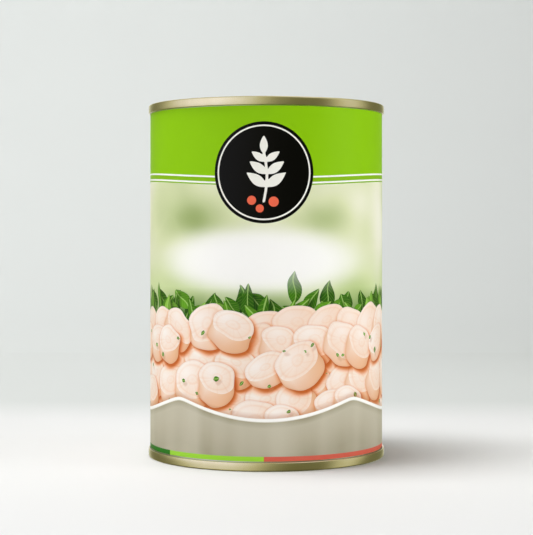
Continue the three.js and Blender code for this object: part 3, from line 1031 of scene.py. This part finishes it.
def foot_stripe(tree, field):
    """The stripe at the foot: dark green, lime and coral round the front, and plain behind.

    Each colour ends at a turn, in degrees.
    """
    coral, lime, dark_green, plain = tint("#D5624F"), tint("#9CD63C"), tint("#2A7420"), tint("#F8F7F0")
    cuts = [
        (field["along_wrap"], "LESS_THAN", WRAP * turn / 360, ink)
        for turn, ink in ((125, coral), (-1.1, lime), (-52.5, dark_green), (-125, plain))
    ]
    return stencil(tree, plain, cuts)


def ruled_panel(tree, field):
    """The pale panel at the back, with a green line inside its edge and grey rules across it."""
    in_panel = add(
        tree, "ShaderNodeMapRange", {"Value": field["panel"], "From Min": 0.0, "From Max": RULED_MARGIN}
    )
    framed = add(
        tree, "ShaderNodeValToRGB", {"Fac": in_panel}, blend="CONSTANT",
        stops=[(0.0, tint("#FDFCF4")), (0.3, tint("#6FA51C")), (0.4, tint("#FDFCF4"))],
    )
    to_line = add(tree, "ShaderNodeMath", {0: field["up_label"], 1: RULE_SPACING / 2}, operation="PINGPONG")
    ruled = stencil(tree, framed, [(to_line, "LESS_THAN", RULE_HALF, tint("#6E7B52"))])
    return stencil(tree, framed, [(field["panel"], "GREATER_THAN", RULED_MARGIN, ruled)])


def lined_band(tree, field):
    """The lime band with its two white lines, whose edges are shares of the way down all four stripes."""
    edges = np.cumsum(BAND_STRIPES)
    shares = edges / edges[-1]
    lime, lime_low, white = tint("#8BC504"), tint("#84B714"), tint("#FAFBF3")
    down_band = add(
        tree, "ShaderNodeMapRange", {"Value": field["band"], "From Min": 0.0, "From Max": edges[-1]}
    )
    return add(
        tree, "ShaderNodeValToRGB", {"Fac": down_band}, blend="CONSTANT",
        stops=[(0.0, lime), (1e-4, white), (shares[0], lime_low), (shares[1], white), (shares[2], lime_low)],
    )


def emblem_disc(tree, field):
    """The emblem: a black disc with a fine white ring, a white sprig and coral berries."""
    black, white = tint("#020202"), tint("#F4F3EA")
    disc = add(
        tree, "ShaderNodeValToRGB", {"Fac": field["emblem"]}, blend="CONSTANT",
        stops=[(0.0, black), (0.905, white), (0.935, black)],
    )
    cuts = [
        (field["sprig"], "GREATER_THAN", 0.0, white),
        (field["berries"], "GREATER_THAN", 0.0, tint("#EE6A4C")),
    ]
    return stencil(tree, disc, cuts)


def printed_paper():
    """Coated label paper, offset printed and glued: inks lie smooth and half glossy, and its back is bare.

    Each ink is laid over the last one where its field on the paper says so, from the pale ground up.
    """
    material, tree = new_material("coated_label_paper")
    place = add(tree, "ShaderNodeTexCoord").outputs["Object"]
    names = (
        "swag", "band", "emblem", "sprig", "berries", "mist", "glow", "panel", "printed", "along_wrap",
        "up_label",
    )
    field = {name: add(tree, "ShaderNodeAttribute", attribute_name=name).outputs["Fac"] for name in names}
    picture = heaped(tree, misty_ground(tree, place, field), field)
    cuts = [
        (field["swag"], "LESS_THAN", HEM, hemmed_cloth(tree, place, field)),
        (field["up_label"], "LESS_THAN", LABEL_BOTTOM / MM + FOOT_STRIPE, foot_stripe(tree, field)),
        (field["panel"], "GREATER_THAN", 0.0, ruled_panel(tree, field)),
        (field["band"], "LESS_THAN", sum(BAND_STRIPES), lined_band(tree, field)),
        (field["emblem"], "LESS_THAN", 1.0, emblem_disc(tree, field)),
        (field["printed"], "LESS_THAN", 0.98, tint("#EFEBDD")),
    ]
    colour = stencil(tree, picture, cuts)

    # The grain that shows through the coating. Real fibres are about 0.03 mm wide, and are drawn coarser so
    # that they show.
    grain = add(
        tree, "ShaderNodeTexNoise",
        {"Vector": place, "Scale": 1 / (0.35 * MM), "Detail": 4.0, "Roughness": 0.6},
    )
    relief = add(tree, "ShaderNodeBump", {"Height": grain, "Strength": 0.08, "Distance": 0.02 * MM})
    roughness = add(
        tree, "ShaderNodeMapRange",
        {"Value": field["printed"], "From Min": 0.9, "From Max": 1.0, "To Min": 0.85, "To Max": 0.42},
    )
    shader = add(
        tree, "ShaderNodeBsdfPrincipled",
        {"Base Color": colour, "Roughness": roughness, "Specular IOR Level": 0.12, "Normal": relief},
    )
    add(tree, "ShaderNodeOutputMaterial", {"Surface": shader})
    return material


def sealing_compound():
    """Water-based rubber compound, dried in the end's curl: matte, stone-coloured and a little lumpy."""
    material, tree = new_material("dried_sealing_compound")
    place = add(tree, "ShaderNodeTexCoord").outputs["Object"]
    lumps = add(tree, "ShaderNodeTexNoise", {"Vector": place, "Scale": 1 / (0.8 * MM), "Detail": 4.0})
    colour = add(
        tree, "ShaderNodeValToRGB", {"Fac": lumps}, stops=[(0.3, tint("#A8A18E")), (0.7, tint("#BDB7A5"))]
    )
    relief = add(tree, "ShaderNodeBump", {"Height": lumps, "Strength": 0.4, "Distance": 0.05 * MM})
    shader = add(tree, "ShaderNodeBsdfPrincipled", {"Base Color": colour, "Roughness": 0.8, "Normal": relief})
    add(tree, "ShaderNodeOutputMaterial", {"Surface": shader})
    return material


def cooked_root():
    """Peeled and cooked root: cream flesh, a little translucent, with long fibres under a wet surface."""
    material, tree = new_material("cooked_root_flesh")
    place = add(tree, "ShaderNodeTexCoord").outputs["Object"]
    stretch = add(tree, "ShaderNodeMapping", {"Vector": place, "Scale": (1, 1, 0.12)})
    fibres = add(
        tree, "ShaderNodeTexNoise",
        {"Vector": stretch, "Scale": 1 / (0.8 * MM), "Detail": 4.0, "Roughness": 0.55},
    )
    blotches = add(tree, "ShaderNodeTexNoise", {"Vector": place, "Scale": 1 / (9 * MM), "Detail": 2.0})
    flesh = add(
        tree, "ShaderNodeValToRGB", {"Fac": fibres}, stops=[(0.35, tint("#EBCDB2")), (0.65, tint("#F8E3D0"))]
    )
    colour = wash(tree, flesh, [(blotches, 0.35, 0.7, 0.0, 0.4, tint("#E3BC97"))])
    relief = add(tree, "ShaderNodeBump", {"Height": fibres, "Strength": 0.3, "Distance": 0.08 * MM})
    shader = add(
        tree, "ShaderNodeBsdfPrincipled",
        {
            "Base Color": colour,
            "Roughness": 0.32,
            "IOR": 1.38,
            "Subsurface Weight": 0.25,
            "Subsurface Radius": (0.9, 0.5, 0.3),
            "Subsurface Scale": 2 * MM,
            "Normal": relief,
        },
    )
    add(tree, "ShaderNodeOutputMaterial", {"Surface": shader})
    return material


def salted_water():
    """Thin brine, clouded by starch: nearly clear and faintly yellow, with a smooth wet surface."""
    material, tree = new_material("starchy_brine")
    place = add(tree, "ShaderNodeTexCoord").outputs["Object"]
    cloud = add(tree, "ShaderNodeTexNoise", {"Vector": place, "Scale": 1 / (14 * MM), "Detail": 3.0})
    colour = add(
        tree, "ShaderNodeValToRGB", {"Fac": cloud}, stops=[(0.3, tint("#E9E3C4")), (0.7, tint("#F3EFDA"))]
    )
    shader = add(
        tree, "ShaderNodeBsdfPrincipled",
        {"Base Color": colour, "Roughness": 0.06, "IOR": 1.34, "Transmission Weight": 0.85},
    )
    add(tree, "ShaderNodeOutputMaterial", {"Surface": shader})
    return material


# Contents

BATON_EDGE = 1.3 * MM
BATON_STATIONS = 18
BATON_TURNS = 40
BATON_SIZE = 0.97  # mean radius over half the box
BATON_LOBE = 0.008
BATON_TAPER = 0.04


def make_baton(node, chance):
    """A cut length of root in its solid's box: a rounded cylinder, its section an ellipse with soft lobes.

    It narrows a little upwards and leans on no neighbour, because its widest section just fits the box.
    """
    low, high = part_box(node)
    half_x, half_y = (high.x - low.x) / 2, (high.y - low.y) / 2
    length = high.z - low.z
    section = rounded_line([(0, 0, 0), (half_x, 0, BATON_EDGE), (half_x, length, BATON_EDGE), (0, length, 0)])
    stations = np.linspace(BATON_EDGE, length - BATON_EDGE, BATON_STATIONS)[1:-1]
    straight = np.stack([np.full(len(stations), half_x), stations], 1)
    outline = np.concatenate([section[: BEND_STEPS + 2], straight, section[BEND_STEPS + 2 :]])
    outline[[0, -1], 0] = 0
    outline[:, 1] += low.z
    phases = chance.uniform(0, 2 * np.pi, 3)

    def lobed(radius, height, turn):
        """The section's radius: an ellipse with lobes of two, three and four sine waves that turn upwards."""
        share = (height - low.z) / length
        squash = 1 - (1 - half_y / half_x) * np.cos(turn) ** 2
        waves = sum(np.sin((n + 2) * turn + phase + n * share) for n, phase in enumerate(phases))
        return radius * squash * (BATON_SIZE + BATON_LOBE * waves - BATON_TAPER * share)

    baton = lathe(f"{node}_flesh", outline, even_turns(BATON_TURNS), lobed)
    centre = Vector(((low.x + high.x) / 2, (low.y + high.y) / 2, 0))
    baton.data.transform(Matrix.Translation(centre))
    return baton


def dress(piece, material, node):
    """Gives a piece its finish, hangs it on the root body, and hides the solid it stands for."""
    piece.data.materials.append(material)
    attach(piece, "root")
    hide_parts(node)


gold = lacquered_tinplate()
for end_name, top in (("top_end", True), ("bottom_end", False)):
    dress(make_end(end_name, top), gold, end_name)
dress(make_body(), plain_tinplate(), "can_body")
dress(make_label(), printed_paper(), "label")

flesh = cooked_root()
chance = np.random.default_rng(SEED)
for node_name in sorted(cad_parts):
    if node_name.startswith("salsify"):
        dress(make_baton(node_name, chance), flesh, node_name)

compound = sealing_compound()
for node_name in ("top_seam_seal", "bottom_seam_seal"):
    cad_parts[node_name].material_slots[0].material = compound
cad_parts["brine"].material_slots[0].material = salted_water()


# The stage: a pale floor and wall, soft lights, and what the metal mirrors.

FLOOR_BACK = 0.42
WALL_BEND = 0.3
STAGE_HALF_WIDTH = 1.6
STAGE_FRONT = -1.6
WALL_TOP = 1.5
PAINTED_SHADE_FROM = 50 * MM  # how far behind the axis the painted shade starts
PAINTED_FALLOFF_FROM = 100 * MM
PAINTED_FALLOFF_REACH = 0.2
SURROUND_RADIUS = 0.86
SURROUND_BEND = 0.2
SURROUND_DROP = 1 * MM
SURROUND_RISE = 0.3  # height over which its painted glow dims upwards
TENT_RADIUS = 1.4
TENT_TURNS = 240
TENT_TILTS = 91

# What the metal mirrors near the horizon: panels of light, each with its bearing from the front and its
# half-width in degrees, and its brightness, first as they are above the horizon and then below it.
# Brightness 1 gives back the metal's own colour.
LIGHT_PANELS = [
    ((-56, 52, 0.97), (-48, 45, 0.63)),
    ((87, 22, 0.54), (83, 19, 0.46)),
    ((-177, 24, 0.72), (-177, 24, 0.66)),
]
BETWEEN_PANELS = 0.18
FLOOR_SHARE = 0.3  # of the panels' brightness, far below the horizon
CLOTH_WAY = (0.83, 0.56)  # across the folds overhead
CLOTH_FOLDS = 5.5
CLOTH_PHASE = 0.4
CLOTH_MEAN = 0.74
CLOTH_SWING = 0.26
FULL = 1.3  # brightest value that the tent's ramp reaches
TENT_STRENGTH = 1.12
ROOM_STRENGTH = 0.11

# Degrees above the horizon over which the tent's parts give way to each other.
FLOOR_TO_PANELS = (-42, -20)
LOWER_TO_UPPER = (-8, 5)
PANELS_TO_CLOTH = (22, 48)


def studio_paper():
    """Matte pale backdrop paper with painted shade: darker in a band behind the can, and darker towards +X at
    the back.
    """
    material, tree = new_material("matte_studio_paper")
    split = add(tree, "ShaderNodeSeparateXYZ", {0: add(tree, "ShaderNodeTexCoord").outputs["Object"]})
    x, y = split.outputs["X"], split.outputs["Y"]
    behind = add(tree, "ShaderNodeMapRange", {"Value": y, "From Min": PAINTED_SHADE_FROM, "From Max": FLOOR_BACK})
    # Painted shade: darker from just behind the can to a band where the floor turns into the wall, so the far
    # floor looks as dim as the wall.
    pale = add(
        tree, "ShaderNodeValToRGB", {"Fac": behind},
        stops=[
            (0.0, tint("#DEDEDE")), (0.11, tint("#DADADA")), (0.28, tint("#CBCECC")), (1.0, tint("#DCDFDD")),
        ],
    )
    # Painted falloff of light: at the back the paper darkens towards +X, by up to 13 percent black.
    aside = add(
        tree, "ShaderNodeMapRange", {"Value": x, "From Min": -PAINTED_FALLOFF_REACH, "From Max": PAINTED_FALLOFF_REACH}
    )
    at_back = add(
        tree, "ShaderNodeMapRange", {"Value": y, "From Min": PAINTED_FALLOFF_FROM, "From Max": FLOOR_BACK}
    )
    dim = add(tree, "ShaderNodeMath", {0: aside, 1: at_back}, operation="MULTIPLY")
    colour = wash(tree, pale, [(dim, 0.0, 1.0, 0.0, 0.13, tint("#000000"))])
    shader = add(
        tree, "ShaderNodeBsdfPrincipled", {"Base Color": colour, "Roughness": 0.7, "Specular IOR Level": 0.2}
    )
    add(tree, "ShaderNodeOutputMaterial", {"Surface": shader})
    return material


def sweep_stage(name, profile):
    """A strip: a line of (y, z) carried along X from one side of the stage to the other."""
    x = np.linspace(-STAGE_HALF_WIDTH, STAGE_HALF_WIDTH, 9)
    count = len(profile)
    points = np.column_stack([np.repeat(x, count), np.tile(profile, (len(x), 1))])
    i, j = grid_places(len(x) - 1, count - 1)
    quads = np.stack([i * count + j, (i + 1) * count + j, (i + 1) * count + j + 1, i * count + j + 1], 1)
    strip = mesh_piece(name, points, [quads], sharp=60)
    strip.visible_glossy = False
    return strip


floor_line = np.array([(STAGE_FRONT, 0.0), (FLOOR_BACK, 0.0)])
wall_line = rounded_line(
    [(FLOOR_BACK, 0, 0), (FLOOR_BACK + WALL_BEND, 0, WALL_BEND), (FLOOR_BACK + WALL_BEND, WALL_TOP, 0)]
)
paper = studio_paper()
for strip in (sweep_stage("floor", floor_line), sweep_stage("wall", wall_line)):
    strip.data.materials.append(paper)


def see_only(piece, *rays):
    """Makes a piece seen by some kinds of ray alone."""
    for ray in ("camera", "diffuse", "glossy", "transmission", "shadow"):
        setattr(piece, f"visible_{ray}", ray in rays)


def passed(value, limits):
    """How far a value has passed from the first limit to the second, from 0 to 1."""
    return np.clip((value - limits[0]) / (limits[1] - limits[0]), 0, 1)


def make_tent():
    """A ball round the set that only mirrors see, glowing as painted reflection: soft panels near the horizon,
    pale folds of cloth overhead.

    A panel's brightness falls off as exp(-d ** 3), d being the way from its middle over its half-width. The
    cloth's is a sine wave across its folds.
    """
    angles = np.linspace(-np.pi / 2, np.pi / 2, TENT_TILTS)
    outline = TENT_RADIUS * np.stack([np.cos(angles), np.sin(angles)], 1)
    outline[[0, -1], 0] = 0
    tent = lathe("light_tent", outline, even_turns(TENT_TURNS))
    x, y, z = places_of(tent).T / TENT_RADIUS
    bearing = np.degrees(np.arctan2(x, -y))
    tilt = np.degrees(np.arcsin(np.clip(z, -1, 1)))
    share = passed(tilt, LOWER_TO_UPPER)
    panels = np.full(len(x), BETWEEN_PANELS)
    for above, below in LIGHT_PANELS:
        middle, half, gain = (share * high + (1 - share) * low for high, low in zip(above, below))
        away = np.abs((bearing - middle + 180) % 360 - 180) / half
        panels += gain * np.exp(-(away**3))
    panels *= FLOOR_SHARE + (1 - FLOOR_SHARE) * passed(tilt, FLOOR_TO_PANELS)
    across = CLOTH_WAY[0] * x + CLOTH_WAY[1] * y
    cloth = CLOTH_MEAN + CLOTH_SWING * np.sin(CLOTH_FOLDS * across + CLOTH_PHASE)
    up = passed(tilt, PANELS_TO_CLOTH)
    give(tent, "lit", (panels * (1 - up) + cloth * up) / FULL)
    material, tree = new_material("glowing_reflection_tent")
    lit = add(tree, "ShaderNodeAttribute", attribute_name="lit").outputs["Fac"]
    shine = add(
        tree, "ShaderNodeValToRGB", {"Fac": lit},
        stops=[
            (0.0, tint("#272719")), (0.15, tint("#6A694A")), (0.46, tint("#B8B798")),
            (0.77, tint("#E3E2E8")), (0.92, tint("#F3F1FF")),
        ],
    )
    # Painted reflection: the ball glows by emission and lights nothing; only the metal's mirror rays see it.
    glow = add(tree, "ShaderNodeEmission", {"Color": shine, "Strength": TENT_STRENGTH * FULL})
    add(tree, "ShaderNodeOutputMaterial", {"Surface": glow})
    tent.data.materials.append(material)
    see_only(tent, "glossy")


def make_surround():
    """A pale wall all round that only the camera sees: a line along the floor that bends up, turned round. It
    glows by itself as painted light, brighter low down and dimmer higher up.
    """
    corners = [
        (0, -SURROUND_DROP, 0),
        (SURROUND_RADIUS, -SURROUND_DROP, SURROUND_BEND),
        (SURROUND_RADIUS, WALL_TOP, 0),
        (0, WALL_TOP, 0),
    ]
    surround = lathe("surround", rounded_line(corners), even_turns(120))
    material, tree = new_material("self_glowing_wall")
    split = add(tree, "ShaderNodeSeparateXYZ", {0: add(tree, "ShaderNodeTexCoord").outputs["Object"]})
    rise = add(
        tree, "ShaderNodeMapRange", {"Value": split.outputs["Z"], "From Min": 0.0, "From Max": SURROUND_RISE}
    )
    paint = add(
        tree, "ShaderNodeValToRGB", {"Fac": rise},
        stops=[(0.0, tint("#F1F1EF")), (0.35, tint("#DFE1DF")), (1.0, tint("#D6D9D7"))],
    )
    # Painted light: the wall glows by emission, and no lamp lights it.
    glow = add(tree, "ShaderNodeEmission", {"Color": paint, "Strength": 1.0})
    add(tree, "ShaderNodeOutputMaterial", {"Surface": glow})
    surround.data.materials.append(material)
    see_only(surround, "camera")


def add_softbox(name, bearing, tilt, distance, size, light):
    """An area light aimed at the can's middle. light is what it gives a white card there that faces it.

    bearing and tilt say where it stands, in degrees: round from the front towards +X, and up.
    """
    aim = Vector((0, 0, CAN_HEIGHT / 2))
    turn, rise = np.radians(bearing), np.radians(tilt)
    out = Vector((np.sin(turn) * np.cos(rise), -np.cos(turn) * np.cos(rise), np.sin(rise)))
    box = bpy.data.lights.new(name, "AREA")
    box.shape = "RECTANGLE"
    box.size, box.size_y = size
    box.energy = light * np.pi**2 * distance**2
    holder = bpy.data.objects.new(name, box)
    holder.location = aim + out * distance
    holder.rotation_euler = (-out).to_track_quat("-Z", "Y").to_euler()
    holder.visible_glossy = False
    bpy.context.scene.collection.objects.link(holder)


make_tent()
make_surround()
add_softbox("key_from_above_left", -83, 74, 0.9, (0.34, 0.47), 1.07)
add_softbox("left_fill", -56, 5, 1.1, (0.6, 0.6), 0.31)
add_softbox("front_fill", 0, 5, 1.1, (0.8, 0.6), 0.2)
add_softbox("right_fill", 74, 5, 1.1, (0.6, 0.6), 0.74)

world = bpy.data.worlds.new("soft_room")
bpy.context.scene.world = world
world.use_nodes = True
world.node_tree.nodes["Background"].inputs["Color"].default_value = tint("#FFFFFF")
world.node_tree.nodes["Background"].inputs["Strength"].default_value = ROOM_STRENGTH

camera_data = bpy.data.cameras.new("camera")
camera = bpy.data.objects.new("camera", camera_data)
bpy.context.scene.collection.objects.link(camera)
bpy.context.scene.camera = camera
camera.location = (0, -CAMERA_DISTANCE, CAMERA_HEIGHT)
camera.rotation_euler = (np.pi / 2, 0, 0)
camera_data.sensor_width = SENSOR
camera_data.lens = FOCAL_PIXELS * SENSOR / max(PICTURE)
camera_data.shift_x = (PICTURE[0] / 2 - AXIS_COLUMN) / max(PICTURE)
camera_data.shift_y = (HORIZON_ROW - PICTURE[1] / 2) / max(PICTURE)
camera_data.clip_start = 0.01

bpy.context.scene.view_settings.view_transform = "Standard"
